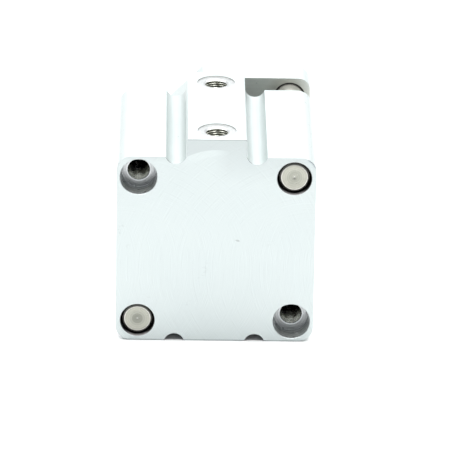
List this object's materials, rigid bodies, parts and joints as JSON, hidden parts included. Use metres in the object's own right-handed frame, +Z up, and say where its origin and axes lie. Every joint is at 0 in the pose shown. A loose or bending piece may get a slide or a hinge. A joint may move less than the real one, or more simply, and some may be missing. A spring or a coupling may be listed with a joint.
{
  "type": "pneumatic gripper",
  "caption": "Compact pneumatic gripper: square cylinder housing with a raised port boss, diagonal guide rods and a jaw plate with slanted corners that slides out from its front.",
  "frame": {"origin": "centre of the closed rear face, on the piston axis", "axes": "+Y along the piston axis from the rear face towards the jaw plate, +Z up through the port boss, +X to the right seen from the rear"},
  "size_m": [0.077, 0.1015, 0.0843],
  "materials": {
    "housing_aluminium": "clear anodised, face-milled ends",
    "cover_aluminium": "turned",
    "plate_aluminium": "clear anodised, milled",
    "piston_aluminium": "turned",
    "hard_chrome": "polished",
    "guide_steel": "ground, turned ends",
    "spring_steel": "phosphated",
    "screw_steel": "black oxide",
    "bush_bronze": "sintered",
    "seal_rubber": "matte",
    "bumper_rubber": "matte",
    "magnet": "matte",
    "wear_plastic": "matte"
  },
  "bodies": {
    "base": {"housing": "housing_aluminium", "front_cover": "cover_aluminium", "cover_o_ring": "seal_rubber", "cover_snap_ring": "spring_steel", "rod_bush": "bush_bronze", "rod_seal": "seal_rubber", "upper_rear_bush": "bush_bronze", "upper_front_bush": "bush_bronze", "lower_rear_bush": "bush_bronze", "lower_front_bush": "bush_bronze", "upper_wiper": "seal_rubber", "lower_wiper": "seal_rubber"},
    "jaw_carriage": {"piston": "piston_aluminium", "piston_seal": "seal_rubber", "piston_magnet": "magnet", "piston_wear_ring": "wear_plastic", "rear_bumper": "bumper_rubber", "front_bumper": "bumper_rubber", "piston_rod": "hard_chrome", "piston_o_ring": "seal_rubber", "piston_screw": "screw_steel", "upper_guide_rod": "guide_steel", "lower_guide_rod": "guide_steel", "jaw_plate": "plate_aluminium", "piston_rod_screw": "screw_steel", "guide_rod_screws": "screw_steel"}
  },
  "joints": [
    {"name": "jaw_slide", "type": "slide", "parent": "base", "child": "jaw_carriage", "axis": [0, 1, 0], "range_m": [0, 0.025]}
  ]
}
